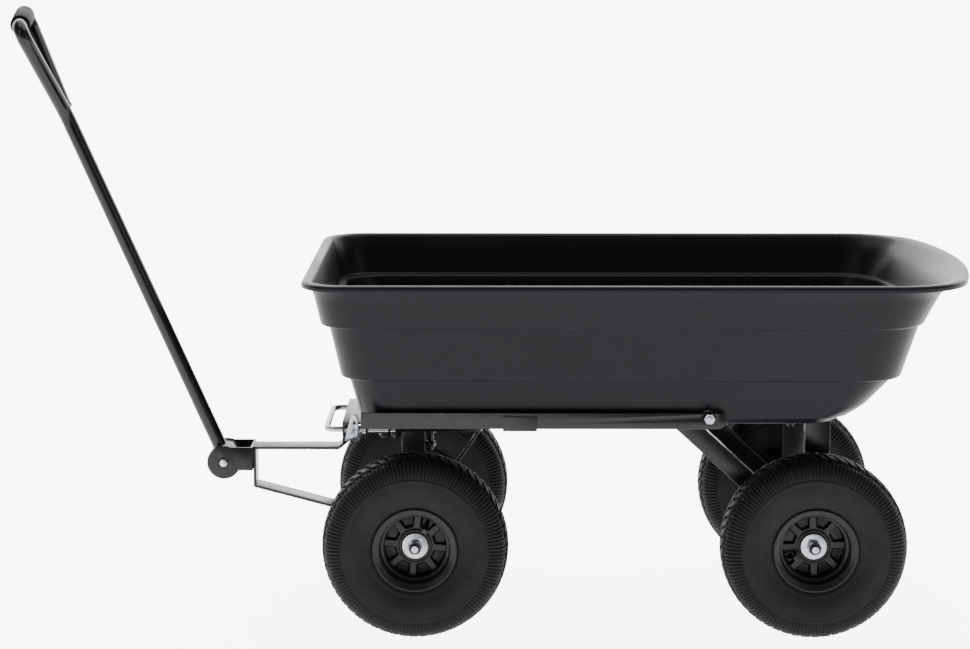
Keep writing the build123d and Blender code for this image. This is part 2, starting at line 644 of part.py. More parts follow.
bolster_low = leg_top - BOLSTER_T
box_low = BOLSTER_PLATE_Z + BOLSTER_PLATE_T
bx0 = KING_X - BOLSTER_W / 2
bx1 = KING_X + BOLSTER_W / 2
wall = BOLSTER_BOX_WALL
bolster = block(bx0, bx1, -leg_edge, leg_edge, bolster_low, leg_top)
box_half = BOLSTER_BOX_HALF
box = block(bx0, bx1, -box_half, box_half, box_low, bolster_low)
box_in = (bx0 + wall, bx1 - wall, -box_half - 1, box_half + 1)
box -= block(*box_in, box_low + wall, bolster_low - wall)
bolster += box
for side in (-1, 1):
    web = make_face(Polyline([
        (KING_X, side * (box_half - 1), box_low + wall),
        (KING_X, side * (box_half - 1), bolster_low + 1),
        (KING_X, side * (leg_edge - 8), bolster_low + 1),
        (KING_X, side * (leg_edge - 8), bolster_low - 3),
    ], close=True))
    bolster += extrude(web, 2, dir=(1, 0, 0), both=True)
head_seat = leg_top - KING_HEAD_H - 0.2
bolster -= rod_z(KING_X, 0, KING_D / 2, box_low - 1, leg_top + 1)
bolster -= rod_z(KING_X, 0, KING_HEAD_D / 2 + 1, head_seat, leg_top + 1)
save("bolster", bolster)

plate_x0 = KING_X - BOLSTER_PLATE_X / 2
plate_x1 = KING_X + BOLSTER_PLATE_X / 2
plate_y = BOLSTER_PLATE_Y / 2
bolster_plate = block(plate_x0, plate_x1, -plate_y, plate_y, BOLSTER_PLATE_Z, box_low)
bolster_plate -= rod_z(KING_X, 0, KING_D / 2, BOLSTER_PLATE_Z - 1, box_low + 1)
slot_half = STOP_D / 2 + 0.6
slot = rod_z(KING_X, 0, STOP_R + slot_half, BOLSTER_PLATE_Z - 1, box_low + 1)
slot -= rod_z(KING_X, 0, STOP_R - slot_half, BOLSTER_PLATE_Z - 2, box_low + 2)
far = 2 * STOP_R
spread_y = far * tan(radians(STOP_SLOT_ANGLE))
wedge = make_face(Polyline([(0, 0), (far, -spread_y), (far, spread_y)], close=True))
slot &= Pos(KING_X, 0, BOLSTER_PLATE_Z - 5) * extrude(wedge, 20)
for angle in (-STOP_SLOT_ANGLE, STOP_SLOT_ANGLE):
    end_x = KING_X + STOP_R * cos(radians(angle))
    end_y = STOP_R * sin(radians(angle))
    slot += rod_z(end_x, end_y, slot_half, BOLSTER_PLATE_Z - 1, box_low + 1)
save("bolster_plate", bolster_plate - slot)

thrust_low = HEAD_PLATE_TOP + TOUCH_GAP
thrust = rod_z(KING_X, 0, THRUST_D / 2, thrust_low, BOLSTER_PLATE_Z)
save("thrust_washer", thrust - rod_z(KING_X, 0, KING_D / 2, thrust_low - 1, BOLSTER_PLATE_Z + 1))

head_plate_low = HEAD_PLATE_TOP - HEAD_PLATE_T
king_nut_top = head_plate_low - TOUCH_GAP
kingpin = rod_z(KING_X, 0, KING_HEAD_D / 2, head_seat, head_seat + KING_HEAD_H)
kingpin += rod_z(KING_X, 0, KING_D / 2, king_nut_top - KING_NUT_H - 4, head_seat)
king_nut = rod_z(KING_X, 0, KING_NUT_D / 2, king_nut_top - KING_NUT_H, king_nut_top)
king_nut -= rod_z(KING_X, 0, KING_D / 2, king_nut_top - KING_NUT_H - 1, king_nut_top + 1)
save("kingpin", Compound([s for piece in (kingpin, king_nut) for s in piece.solids()]))

# ================================================================ steering
stop_x = KING_X + STOP_R
drawbar_bolt_x = (HEAD_PLATE_FRONT + 6.5, HEAD_PLATE_FRONT + 23.5)
head_x = (HEAD_PLATE_FRONT, HEAD_PLATE_REAR)
head_y = (-HEAD_PLATE_HALF, HEAD_PLATE_HALF)
head_plate = block(*head_x, *head_y, head_plate_low, HEAD_PLATE_TOP)
head_plate = fillet(head_plate.edges().filter_by(Axis.Z), 9)
head_plate -= rod_z(KING_X, 0, KING_D / 2 + RUN_GAP, head_plate_low - 1, HEAD_PLATE_TOP + 1)
head_plate -= rod_z(stop_x, 0, STOP_D / 2, head_plate_low - 1, HEAD_PLATE_TOP + 1)
for x in drawbar_bolt_x:
    head_plate -= rod_z(x, 0, M8_D / 2, head_plate_low - 1, HEAD_PLATE_TOP + 1)
save("head_plate", head_plate)

post_front = KING_X - POST_SIZE / 2
post_rear = KING_X + POST_SIZE / 2
post = block(post_front, post_rear, -POST_SIZE / 2, POST_SIZE / 2, beam_top, head_plate_low)
post_in = POST_SIZE / 2 - POST_WALL
post -= block(KING_X - post_in, KING_X + post_in, -post_in, post_in, beam_top - 1, head_plate_low + 1)
save("kingpin_post", post)

arm_z = head_plate_low - STRAP_T / 2
drawbar_path = [
    (post_front, arm_z),
    (DRAWBAR_STEP[0], arm_z),
    (DRAWBAR_STEP[1], DRAWBAR_TOP),
    (DRAWBAR_FRONT + STRAP_T / 2, DRAWBAR_TOP),
    (DRAWBAR_FRONT + STRAP_T / 2, DRAWBAR_LOW),
    (-BEAM_SIZE / 2 - 2, axle_z - BEAM_SIZE / 2 - STRAP_T / 2),
    (BEAM_SIZE / 2 + 2, axle_z - BEAM_SIZE / 2 - STRAP_T / 2),
]
drawbar = slab_xz(strap(drawbar_path, STRAP_T), -DRAWBAR_W / 2, DRAWBAR_W / 2)
for x in drawbar_bolt_x:
    drawbar -= rod_z(x, 0, M8_D / 2, arm_z - 5, arm_z + 5)
save("drawbar", drawbar)

bolts = []
arm_low = head_plate_low - STRAP_T
for x in drawbar_bolt_x:
    # Low domed heads keep clear of the bolster plate above.
    bolt = rod_z(x, 0, M8_AF / 2, HEAD_PLATE_TOP, HEAD_PLATE_TOP + 2.0)
    bolt += rod_z(x, 0, M8_D / 2, arm_low - M8_NUT_H - 3, HEAD_PLATE_TOP)
    nut = Pos(x, 0, arm_low - M8_NUT_H) * hexagon(M8_AF, M8_NUT_H)
    nut -= rod_z(x, 0, M8_D / 2, arm_low - M8_NUT_H - 1, arm_low + 1)
    bolts += [bolt, nut]
save("drawbar_bolts", Compound([s for piece in bolts for s in piece.solids()]))

brace_face = BEAM_SIZE / 2 + STRAP_T / 2
brace_path = [(x, arm_z) for x in BRACE_STEP] + [(brace_face, axle_z + up) for up in BRACE_REACH]
save("front_brace", slab_xz(strap(brace_path, STRAP_T), -BRACE_W / 2, BRACE_W / 2))

stop = rod_z(stop_x, 0, STOP_D / 2, HEAD_PLATE_TOP - STOP_TAIL, box_low - 0.5)
stop_nuts = []
for top in (head_plate_low, HEAD_PLATE_TOP - STOP_NUT_DROP):
    nut = Pos(stop_x, 0, top - M8_NUT_H) * hexagon(M8_AF, M8_NUT_H)
    stop_nuts.append(nut - rod_z(stop_x, 0, STOP_D / 2, top - M8_NUT_H - 1, top + 1))
save("stop_bolt", Compound([s for piece in [stop] + stop_nuts for s in piece.solids()]))

# ---------------------------------------------------------------- clevis
yoke_back = DRAWBAR_FRONT - YOKE_T
ear_outline = [(YOKE_X, YOKE_LOW), (DRAWBAR_FRONT, YOKE_LOW)]
ear_outline += [(DRAWBAR_FRONT, YOKE_TOP), (YOKE_X, YOKE_TOP)]
clevis = block(yoke_back, DRAWBAR_FRONT, -YOKE_HALF, YOKE_HALF, YOKE_LOW, YOKE_TOP)
for side in (-1, 1):
    y_out = side * YOKE_HALF
    y_in = side * (YOKE_HALF - YOKE_T)
    clevis += slab_xz(ear_outline, y_out, y_in)
    clevis += rod_y(YOKE_X, YOKE_Z, YOKE_R, y_out, y_in)
clevis -= rod_y(YOKE_X, YOKE_Z, M6_D / 2, -YOKE_HALF - 1, YOKE_HALF + 1)
save("clevis", clevis)

bolt_end = YOKE_HALF + M6_NUT_H + 2
bolt = rod_y(YOKE_X, YOKE_Z, M6_D / 2, -YOKE_HALF, bolt_end)
bolt += Pos(YOKE_X, -YOKE_HALF, YOKE_Z) * Rot(90, 0, 0) * hexagon(M6_AF, M6_HEAD_H)
nut = Pos(YOKE_X, YOKE_HALF, YOKE_Z) * Rot(-90, 0, 0) * hexagon(M6_AF, M6_NUT_H)
nut -= rod_y(YOKE_X, YOKE_Z, M6_D / 2, YOKE_HALF - 1, bolt_end + 1)
save("clevis_bolt", Compound([s for piece in (bolt, nut) for s in piece.solids()]))

# ================================================================ handle
# Built upright from the pivot, loop in the YZ plane, then leaned over.
lean = Pos(YOKE_X, 0, YOKE_Z) * Rot(0, -HANDLE_LEAN, 0)
loop_turn = Rot(0, 0, HANDLE_TWIST)
boss_half = YOKE_HALF - YOKE_T - HUB_BOSS_GAP
boss = Rot(90, 0, 0) * Cylinder(HUB_BOSS_R, 2 * boss_half)
boss_bore = Rot(90, 0, 0) * Cylinder(M6_D / 2 + RUN_GAP, 2 * boss_half + 2)
save("handle_boss", lean * (boss - boss_bore))

loop_points = [(0, 0, 6.0), (0, 0, LOOP_START), (0,) + LOOP_NEAR, (0,) + LOOP_FAR, (0,) + LOOP_END]
loop = rounded_path(loop_points, [LOOP_BEND_R, LOOP_CORNER_R, LOOP_CORNER_R])
foot = Plane(origin=(0, 0, 6.0), z_dir=(0, 0, 1))
tube = sweep(foot * Circle(HANDLE_D / 2), path=loop)
tube -= sweep(foot * Circle(HANDLE_D / 2 - HANDLE_WALL), path=loop)
tube = loop_turn * tube - Rot(90, 0, 0) * Cylinder(HUB_BOSS_R, 2 * boss_half)
save("handle_tube", lean * tube)

near = Vector(0, *LOOP_NEAR)
far_end = Vector(0, *LOOP_FAR)
grip_dir = (far_end - near).normalized()
grip_mid = (near + far_end) * 0.5
grip_plane = Plane(origin=grip_mid - grip_dir * (GRIP_LENGTH / 2), z_dir=grip_dir)
grip = extrude(grip_plane * (Circle(GRIP_D / 2) - Circle(HANDLE_D / 2)), GRIP_LENGTH)
save("grip", lean * loop_turn * grip)

end = Vector(0, *LOOP_END)
out_dir = (end - far_end).normalized()
plug_plane = Plane(origin=end, z_dir=out_dir)
plug = extrude(plug_plane * Circle(HANDLE_D / 2 + 0.8), PLUG_T)
plug += extrude(plug_plane * Circle(HANDLE_D / 2 - HANDLE_WALL), -12)
save("end_plug", lean * loop_turn * plug)

# ================================================================ latch
guide = block(GUIDE_X, GUIDE_X + GUIDE_T, -GUIDE_HALF, GUIDE_HALF, GUIDE_LOW, GUIDE_TOP)
guide += block(GUIDE_X, RAIL_FRONT, -GUIDE_HALF, GUIDE_HALF, GUIDE_TOP - GUIDE_T, GUIDE_TOP)
for side in (-1, 1):
    guide -= rod_x(side * BAIL_HALF, BAIL_Z, bail_hole_r, GUIDE_X - 1, GUIDE_X + GUIDE_T + 1)
save("latch_guide", guide)

cheek_low = BAIL_Z - CHEEK_DROP
cheek_top = BAIL_Z + CHEEK_RISE
cheek_out = -GUIDE_HALF - CHEEK_T
cheek_outline = [(GUIDE_X + GUIDE_T, cheek_low), (CHEEK_BACK[0], cheek_low)]
cheek_outline += [(CHEEK_BACK[1], cheek_top), (CHEEK_TIP, cheek_top)]
cheek = slab_xz(cheek_outline, cheek_out, -GUIDE_HALF)
for z in (BAIL_Z, BAIL_Z + 11):
    cheek -= rod_y(CHEEK_HOLE_X, z, CHEEK_HOLE_R, cheek_out - 1, -GUIDE_HALF + 1)
save("latch_cheeks", Compound([s for piece in mirrored(cheek) for s in piece.solids()]))

bail_points = [
    (BAIL_TIP, -BAIL_HALF, BAIL_Z),
    (BAIL_X, -BAIL_HALF, BAIL_Z),
    (BAIL_X, BAIL_HALF, BAIL_Z),
    (BAIL_TIP, BAIL_HALF, BAIL_Z),
]
bail_path = rounded_path(bail_points, [BAIL_CORNER_R, BAIL_CORNER_R])
bail_start = Plane(origin=bail_points[0], z_dir=(-1, 0, 0))
bail = sweep(bail_start * Circle(BAIL_D / 2), path=bail_path)
collar_back = RAIL_FRONT - TOUCH_GAP
collar_front = collar_back - BAIL_COLLAR_T
for side in (-1, 1):
    bail += rod_x(side * BAIL_HALF, BAIL_Z, BAIL_COLLAR_D / 2, collar_front, collar_back)
save("latch_bail", bail)

springs = []
spring_from = GUIDE_X + GUIDE_T + SPRING_WIRE / 2 + 0.05
spring_to = collar_front - SPRING_WIRE / 2 - 0.05
spring_r = BAIL_D / 2 + SPRING_WIRE / 2 + 0.5
spring_length = spring_to - spring_from
for side in (-1, 1):
    coil = Helix(spring_length / SPRING_COILS, spring_length, spring_r)
    wire = sweep(Plane(origin=coil @ 0, z_dir=coil % 0) * Circle(SPRING_WIRE / 2), path=coil)
    springs.append(Pos(spring_from, side * BAIL_HALF, BAIL_Z) * Rot(0, 90, 0) * wire)
save("latch_springs", Compound([s for piece in springs for s in piece.solids()]))

striker = block(STRIKER_X[0], STRIKER_X[1], -STRIKER_HALF, STRIKER_HALF, striker_low, TUB_Z)
ear_x = (STRIKER_X[1] - STRIKER_T, STRIKER_X[1])
cut_x = (ear_x[0] - 1, ear_x[1] + 1)
slot_r = BAIL_D / 2 + 0.5
for side in (-1, 1):
    middle = side * BAIL_HALF
    striker += block(*ear_x, middle - STRIKER_EAR, middle + STRIKER_EAR, BAIL_Z - 9, striker_low)
    striker -= rod_x(middle, BAIL_Z, slot_r, *cut_x)
    striker -= block(*cut_x, middle - slot_r, middle + slot_r, BAIL_Z - 20, BAIL_Z)
    striker -= rod_z(sx, side * sy, M6_D / 2, striker_low - 1, TUB_Z + 1)
save("latch_striker", striker)
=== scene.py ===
import json
import math

import bmesh
import bpy
import numpy as np
from mathutils import Matrix, Vector


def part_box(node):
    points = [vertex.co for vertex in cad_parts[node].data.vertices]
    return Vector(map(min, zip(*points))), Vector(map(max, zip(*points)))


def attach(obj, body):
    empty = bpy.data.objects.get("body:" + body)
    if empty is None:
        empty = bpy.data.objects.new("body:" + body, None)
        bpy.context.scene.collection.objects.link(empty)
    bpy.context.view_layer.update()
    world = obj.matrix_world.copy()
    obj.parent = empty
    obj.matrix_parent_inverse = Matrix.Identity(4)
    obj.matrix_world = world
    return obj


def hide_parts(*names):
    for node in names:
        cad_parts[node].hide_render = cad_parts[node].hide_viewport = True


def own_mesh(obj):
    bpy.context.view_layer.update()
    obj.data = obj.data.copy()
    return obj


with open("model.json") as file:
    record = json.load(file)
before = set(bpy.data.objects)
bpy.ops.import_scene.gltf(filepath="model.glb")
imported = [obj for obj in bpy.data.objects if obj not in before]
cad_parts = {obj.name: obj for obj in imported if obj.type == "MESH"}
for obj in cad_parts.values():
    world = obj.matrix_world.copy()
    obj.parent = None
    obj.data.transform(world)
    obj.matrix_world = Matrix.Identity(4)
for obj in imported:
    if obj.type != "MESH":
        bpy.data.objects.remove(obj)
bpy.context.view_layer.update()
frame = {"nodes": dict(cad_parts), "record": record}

nodes = frame["nodes"]
body_of_node = {}
for body_name, members in frame["record"]["behaviour"]["bodies"].items():
    for member in members:
        body_of_node[member] = body_name


# ---- Studio ------------------------------------------------------------------
# A sweep of white paper that curves up behind the cart, one broad ceiling light, a soft
# light on each side and a wash on the paper. Nothing here is part of the cart.
paper = bpy.data.materials.new("studio_paper")
paper.use_nodes = True
paper_shader = paper.node_tree.nodes["Principled BSDF"]
paper_shader.inputs["Base Color"].default_value = (0.94, 0.94, 0.94, 1)
paper_shader.inputs["Roughness"].default_value = 0.9
paper_shader.inputs["Specular IOR Level"].default_value = 0.0
paper_shader.inputs["Emission Color"].default_value = (1, 1, 1, 1)
sight = paper.node_tree.nodes.new("ShaderNodeLightPath")
glow = paper.node_tree.nodes.new("ShaderNodeMapRange")
glow.inputs["To Min"].default_value = 2.0
glow.inputs["To Max"].default_value = 7.0
paper.node_tree.links.new(sight.outputs["Is Camera Ray"], glow.inputs["Value"])
paper.node_tree.links.new(glow.outputs["Result"], paper_shader.inputs["Emission Strength"])
sweep_line = [(-9.0, -0.0005), (2.2, -0.0005)]
for step in range(1, 17):
    bend = step / 16 * math.pi / 2
    sweep_line.append((2.2 + 2.5 * math.sin(bend), 2.5 - 2.5 * math.cos(bend)))
sweep_line.append((4.7, 9.0))
sweep_points = [(x, y, z) for y, z in sweep_line for x in (-14, 14)]
sweep_faces = [(2 * i, 2 * i + 1, 2 * i + 3, 2 * i + 2) for i in range(len(sweep_line) - 1)]
sweep_mesh = bpy.data.meshes.new("studio_sweep")
sweep_mesh.from_pydata(sweep_points, [], sweep_faces)
sweep_mesh.polygons.foreach_set("use_smooth", [True] * len(sweep_mesh.polygons))
sweep_mesh.materials.append(paper)
sweep_paper = bpy.data.objects.new("studio_sweep", sweep_mesh)
bpy.context.collection.objects.link(sweep_paper)

world = bpy.data.worlds.new("studio_air")
bpy.context.scene.world = world
world.use_nodes = True
world.node_tree.nodes["Background"].inputs["Color"].default_value = (1, 1, 1, 1)
world.node_tree.nodes["Background"].inputs["Strength"].default_value = 0.22


def studio_light(name, place, aim, size, watts):
    lamp = bpy.data.lights.new(name, "AREA")
    lamp.shape = "RECTANGLE"
    lamp.size = size[0]
    lamp.size_y = size[1]
    lamp.energy = watts
    holder = bpy.data.objects.new(name, lamp)
    holder.location = place
    holder.rotation_euler = (Vector(aim) - Vector(place)).to_track_quat("-Z", "Y").to_euler()
    bpy.context.collection.objects.link(holder)


studio_light("ceiling_box", (0.0, 0.3, 3.2), (0, 0.1, 0.2), (3.4, 2.6), 80)
studio_light("front_left_box", (-2.8, -3.0, 2.2), (0, 0, 0.3), (1.4, 1.6), 14)
studio_light("front_right_box", (3.0, -2.6, 1.6), (0.2, 0, 0.3), (1.2, 1.6), 11)
studio_light("paper_wash", (0.0, 3.6, 3.4), (0, 2.6, 0.0), (6.0, 1.0), 120)

camera_data = bpy.data.cameras.new("view")
camera_data.sensor_width = 36.0
camera_data.lens = 90.2
camera = bpy.data.objects.new("view", camera_data)
camera.location = (0.01374, -3.33946, 0.96935)
camera.rotation_euler = (math.radians(90 - 9.804), 0, math.radians(0.337))
bpy.context.collection.objects.link(camera)
bpy.context.scene.camera = camera


# ---- Tub ---------------------------------------------------------------------
# One rotation-moulded shell of black polypropylene: flat floor, two stepped ledges
# round the walls, a rolled rim with a turned-down lip, square at the pull end and
# rounded at the spout end. The wall is one closed skin swept through its outlines.
MM = 0.001
front_axle_x = (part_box("front_axle_beam")[0].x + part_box("front_axle_beam")[1].x) / 2


def finish_of(name, light, dark, blotch, rough, grain, depth, metal=0.0, spec=0.5, wear=0.0):
    """Surface with drifting colour, drifting gloss, a fine grain and lighter worn edges."""
    paint = bpy.data.materials.new(name)
    paint.use_nodes = True
    tree = paint.node_tree
    shader = tree.nodes["Principled BSDF"]
    link = tree.links.new
    where = tree.nodes.new("ShaderNodeTexCoord")
    drift = tree.nodes.new("ShaderNodeTexNoise")
    drift.inputs["Scale"].default_value = blotch
    drift.inputs["Detail"].default_value = 5.0
    drift.inputs["Roughness"].default_value = 0.6
    link(where.outputs["Object"], drift.inputs["Vector"])
    tint = tree.nodes.new("ShaderNodeValToRGB")
    tint.color_ramp.elements[0].position = 0.34
    tint.color_ramp.elements[0].color = (*dark, 1)
    tint.color_ramp.elements[1].position = 0.68
    tint.color_ramp.elements[1].color = (*light, 1)
    link(drift.outputs["Fac"], tint.inputs["Fac"])
    colour = tint.outputs["Color"]
    if wear > 0:
        geometry = tree.nodes.new("ShaderNodeNewGeometry")
        edge = tree.nodes.new("ShaderNodeMapRange")
        edge.inputs["From Min"].default_value = 0.53
        edge.inputs["From Max"].default_value = 0.62
        edge.inputs["To Max"].default_value = wear
        link(geometry.outputs["Pointiness"], edge.inputs["Value"])
        rubbed = tree.nodes.new("ShaderNodeMix")
        rubbed.data_type = "RGBA"
        rubbed.inputs["B"].default_value = (*[min(1.0, c * 3 + 0.03) for c in light], 1)
        link(edge.outputs["Result"], rubbed.inputs["Factor"])
        link(colour, rubbed.inputs["A"])
        colour = rubbed.outputs["Result"]
    link(colour, shader.inputs["Base Color"])
    sheen = tree.nodes.new("ShaderNodeTexNoise")
    sheen.inputs["Scale"].default_value = blotch * 3.1
    sheen.inputs["Detail"].default_value = 3.0
    link(where.outputs["Object"], sheen.inputs["Vector"])
    gloss = tree.nodes.new("ShaderNodeMapRange")
    gloss.inputs["From Min"].default_value = 0.3
    gloss.inputs["From Max"].default_value = 0.7
    gloss.inputs["To Min"].default_value = rough[0]
    gloss.inputs["To Max"].default_value = rough[1]
    link(sheen.outputs["Fac"], gloss.inputs["Value"])
    link(gloss.outputs["Result"], shader.inputs["Roughness"])
    fine = tree.nodes.new("ShaderNodeTexNoise")
    fine.inputs["Scale"].default_value = grain
    fine.inputs["Detail"].default_value = 2.0
    link(where.outputs["Object"], fine.inputs["Vector"])
    relief = tree.nodes.new("ShaderNodeBump")
    relief.inputs["Strength"].default_value = 1.0
    relief.inputs["Distance"].default_value = depth
    link(fine.outputs["Fac"], relief.inputs["Height"])
    link(relief.outputs["Normal"], shader.inputs["Normal"])
    shader.inputs["Metallic"].default_value = metal
    shader.inputs["Specular IOR Level"].default_value = spec
    return paint


def skin(name, points, faces, paint):
    """Plain smooth-shaded mesh object at the origin."""
    mesh = bpy.data.meshes.new(name)
    mesh.from_pydata([tuple(p) for p in points], [], faces)
    mesh.validate()
    mesh.polygons.foreach_set("use_smooth", [True] * len(mesh.polygons))
    mesh.materials.append(paint)
    made = bpy.data.objects.new(name, mesh)
    bpy.context.collection.objects.link(made)
    return made


def face_outward(mesh):
    """Turn every face of a closed mesh outward."""
    work = bmesh.new()
    work.from_mesh(mesh)
    bmesh.ops.recalc_face_normals(work, faces=work.faces)
    work.to_mesh(mesh)
    work.free()


def mark_sharp(mesh, degrees):
    """Shade across every edge except those that turn by more than this."""
    work = bmesh.new()
    work.from_mesh(mesh)
    for edge in work.edges:
        edge.smooth = edge.calc_face_angle(0) <= math.radians(degrees)
    work.to_mesh(mesh)
    work.free()


def rings_to_faces(ring_count, per_ring, closed):
    """Quads between neighbouring rings of points; closed joins the last ring to the first."""
    faces = []
    for i in range(ring_count if closed else ring_count - 1):
        a = i * per_ring
        b = ((i + 1) % ring_count) * per_ring
        for j in range(per_ring):
            k = (j + 1) % per_ring
            faces.append((a + j, a + k, b + k, b + j))
    return faces


# Outlines of the wall, up the outside and down the inside, in mm with X from the front
# axle: (height, front, spout tip, half width, front corner, spout corner, spout crown),
# then how far the skin's corner there is rounded.
tub_stations = [
    ((289.4, -71.0, 576.0, 184.0, 40.0, 50.0, 1200.0), 9.0),
    ((312.0, -78.0, 611.0, 190.0, 42.0, 52.0, 1200.0), 5.0),
    ((352.0, -88.5, 649.0, 201.0, 45.0, 55.0, 1100.0), 2.0),
    ((352.3, -98.0, 659.0, 211.0, 48.0, 58.0, 1000.0), 3.4),
    ((425.0, -113.0, 684.0, 226.0, 50.0, 66.0, 900.0), 2.0),
    ((425.3, -123.0, 691.0, 236.0, 52.0, 74.0, 820.0), 3.4),
    ((468.0, -132.0, 716.0, 245.0, 54.0, 86.0, 740.0), 7.0),
    ((481.4, -139.0, 736.0, 253.0, 56.0, 96.0, 730.0), 3.0),
    ((483.0, -143.6, 745.0, 257.4, 57.0, 101.0, 720.0), 1.4),
    ((478.4, -143.9, 746.5, 258.0, 57.0, 102.0, 720.0), 0.9),
    ((477.6, -146.6, 750.0, 261.0, 58.0, 104.0, 720.0), 1.4),
    ((484.6, -147.4, 751.0, 261.4, 58.0, 104.0, 720.0), 4.0),
    ((487.4, -140.5, 744.0, 255.4, 55.0, 99.0, 720.0), 5.0),
    ((485.0, -134.0, 731.0, 249.6, 52.0, 93.0, 726.0), 5.0),
    ((468.0, -128.5, 712.5, 241.5, 50.5, 82.5, 736.5), 9.0),
    ((428.8, -119.5, 687.5, 232.5, 48.5, 70.5, 816.5), 3.6),
    ((428.5, -109.5, 680.5, 222.5, 46.5, 62.5, 896.5), 3.6),
    ((355.8, -94.5, 655.5, 207.5, 44.5, 54.5, 996.5), 3.6),
    ((355.5, -85.0, 645.5, 197.5, 41.5, 51.5, 1096.5), 3.6),
    ((314.0, -74.8, 608.0, 186.7, 38.5, 48.5, 1196.5), 8.0),
    ((294.3, -68.0, 574.0, 181.0, 36.5, 46.5, 1196.5), 12.0),
]


side_steps = 48
front_steps = 28
crown_steps = 44
front_corner_steps = 18
spout_corner_steps = 22


def tub_outline(station):
    """Ring of points round the tub at one station, the same count on every ring."""
    height, front, tip, half, front_r, rear_r, crown_r = station
    crown_x = tip - crown_r
    corner_x = crown_x + math.sqrt((crown_r - rear_r) ** 2 - (half - rear_r) ** 2)
    lean = math.atan2(half - rear_r, corner_x - crown_x)
    ring = []
    for t in np.linspace(0, 1, side_steps, endpoint=False):
        ring.append((front + front_r + (corner_x - front - front_r) * t, -half))
    for t in np.linspace(-math.pi / 2, -lean, spout_corner_steps, endpoint=False):
        ring.append((corner_x + rear_r * math.cos(t), rear_r - half + rear_r * math.sin(t)))
    for t in np.linspace(-lean, lean, crown_steps, endpoint=False):
        ring.append((crown_x + crown_r * math.cos(t), crown_r * math.sin(t)))
    for t in np.linspace(lean, math.pi / 2, spout_corner_steps, endpoint=False):
        ring.append((corner_x + rear_r * math.cos(t), half - rear_r + rear_r * math.sin(t)))
    for t in np.linspace(1, 0, side_steps, endpoint=False):
        ring.append((front + front_r + (corner_x - front - front_r) * t, half))
    for t in np.linspace(math.pi / 2, math.pi, front_corner_steps, endpoint=False):
        ring.append((front + front_r * (1 + math.cos(t)), half - front_r * (1 - math.sin(t))))
    for t in np.linspace(1, -1, front_steps, endpoint=False):
        ring.append((front, (half - front_r) * t))
    for t in np.linspace(math.pi, 1.5 * math.pi, front_corner_steps, endpoint=False):
        ring.append((front + front_r * (1 + math.cos(t)), front_r * (1 + math.sin(t)) - half))
    return [(x * MM + front_axle_x, y * MM, height * MM) for x, y in ring]


longest_ease = 0.45     # most of a wall that the rounding of its corner may take
wall_step = 9           # mm between rings up a long wall


def eased_stations(stations):
    """Stations with each corner rounded by its own reach, and long walls divided."""
    keys = [np.array(level) for level, _ in stations]
    reach = [ease for _, ease in stations]
    eased = []
    for i in range(1, len(keys) - 1):
        back = keys[i - 1] - keys[i]
        on = keys[i + 1] - keys[i]
        back_len = math.hypot(back[0], back[3])
        on_len = math.hypot(on[0], on[3])
        start = keys[i] + back * min(longest_ease, reach[i] / back_len)
        end = keys[i] + on * min(longest_ease, reach[i] / on_len)
        for t in (0, 0.2, 0.4, 0.6, 0.8, 1):
            eased.append((1 - t) ** 2 * start + 2 * t * (1 - t) * keys[i] + t * t * end)
    full = [keys[0]] + eased + [keys[-1]]
    divided = [full[0]]
    for a, b in zip(full[:-1], full[1:]):
        steps = max(1, int(math.hypot(b[0] - a[0], b[3] - a[3]) / wall_step))
        for k in range(1, steps + 1):
            divided.append(a + (b - a) * k / steps)
    return divided


tub_levels = [tuple(s) for s in eased_stations(tub_stations)]


def tub_base_rings(station, ease):
    """Rings that round the wall into a flat floor and close it towards the middle."""
    height, front, tip, half, front_r, rear_r, crown_r = station
    rounded = []
    for t in (0.25, 0.5, 0.75, 1.0):
        inset = ease * (1 - math.cos(t * math.pi / 2))
        rise = ease * (1 - math.sin(t * math.pi / 2))
        shrunk_corners = (front_r - inset * 0.5, rear_r - inset * 0.5, crown_r - inset)
        rounded.append((height + rise, front + inset, tip - inset, half - inset, *shrunk_corners))
    return rounded


outer_foot = tub_stations[0][0]
inner_foot = tub_stations[-1][0]
outer_base_r = 9.0
inner_base_r = 12.0
outer_base = tub_base_rings(outer_foot, outer_base_r)
inner_base = tub_base_rings(inner_foot, inner_base_r)
tub_levels[0] = tuple(np.array(outer_foot) + [outer_base_r, -1.5, 4, 1.2, 0, 0, 0])
tub_levels[-1] = tuple(np.array(inner_foot) + [inner_base_r, -1.8, 5, 1.6, 0, 0, 0])
tub_levels = outer_base[::-1] + tub_levels + inner_base
tub_rings = [np.array(tub_outline(s)) for s in tub_levels]
per_ring = len(tub_rings[0])


def floor_rings(edge_ring):
    """Smaller and smaller copies of a ring, towards the middle of the floor."""
    middle = edge_ring.mean(axis=0)
    return [middle + (edge_ring - middle) * share for share in (0.93, 0.8, 0.6, 0.35, 0.12)]


below = floor_rings(tub_rings[0])[::-1]
above = floor_rings(tub_rings[-1])
tub_rings = below + tub_rings + above
tub_points = np.concatenate(tub_rings)
tub_faces = rings_to_faces(len(tub_rings), per_ring, False)
tub_faces.append(tuple(range(per_ring))[::-1])
last = (len(tub_rings) - 1) * per_ring
tub_faces.append(tuple(range(last, last + per_ring)))
tub_plastic = finish_of(
    "tub_plastic", light=(0.0062, 0.0062, 0.0090), dark=(0.0046, 0.0046, 0.0068),
    blotch=2.2, rough=(0.28, 0.38), grain=900.0, depth=0.00004, spec=0.15, wear=0.1,
)
tub_solid = skin("tub_solid", tub_points, tub_faces, tub_plastic)
face_outward(tub_solid.data)

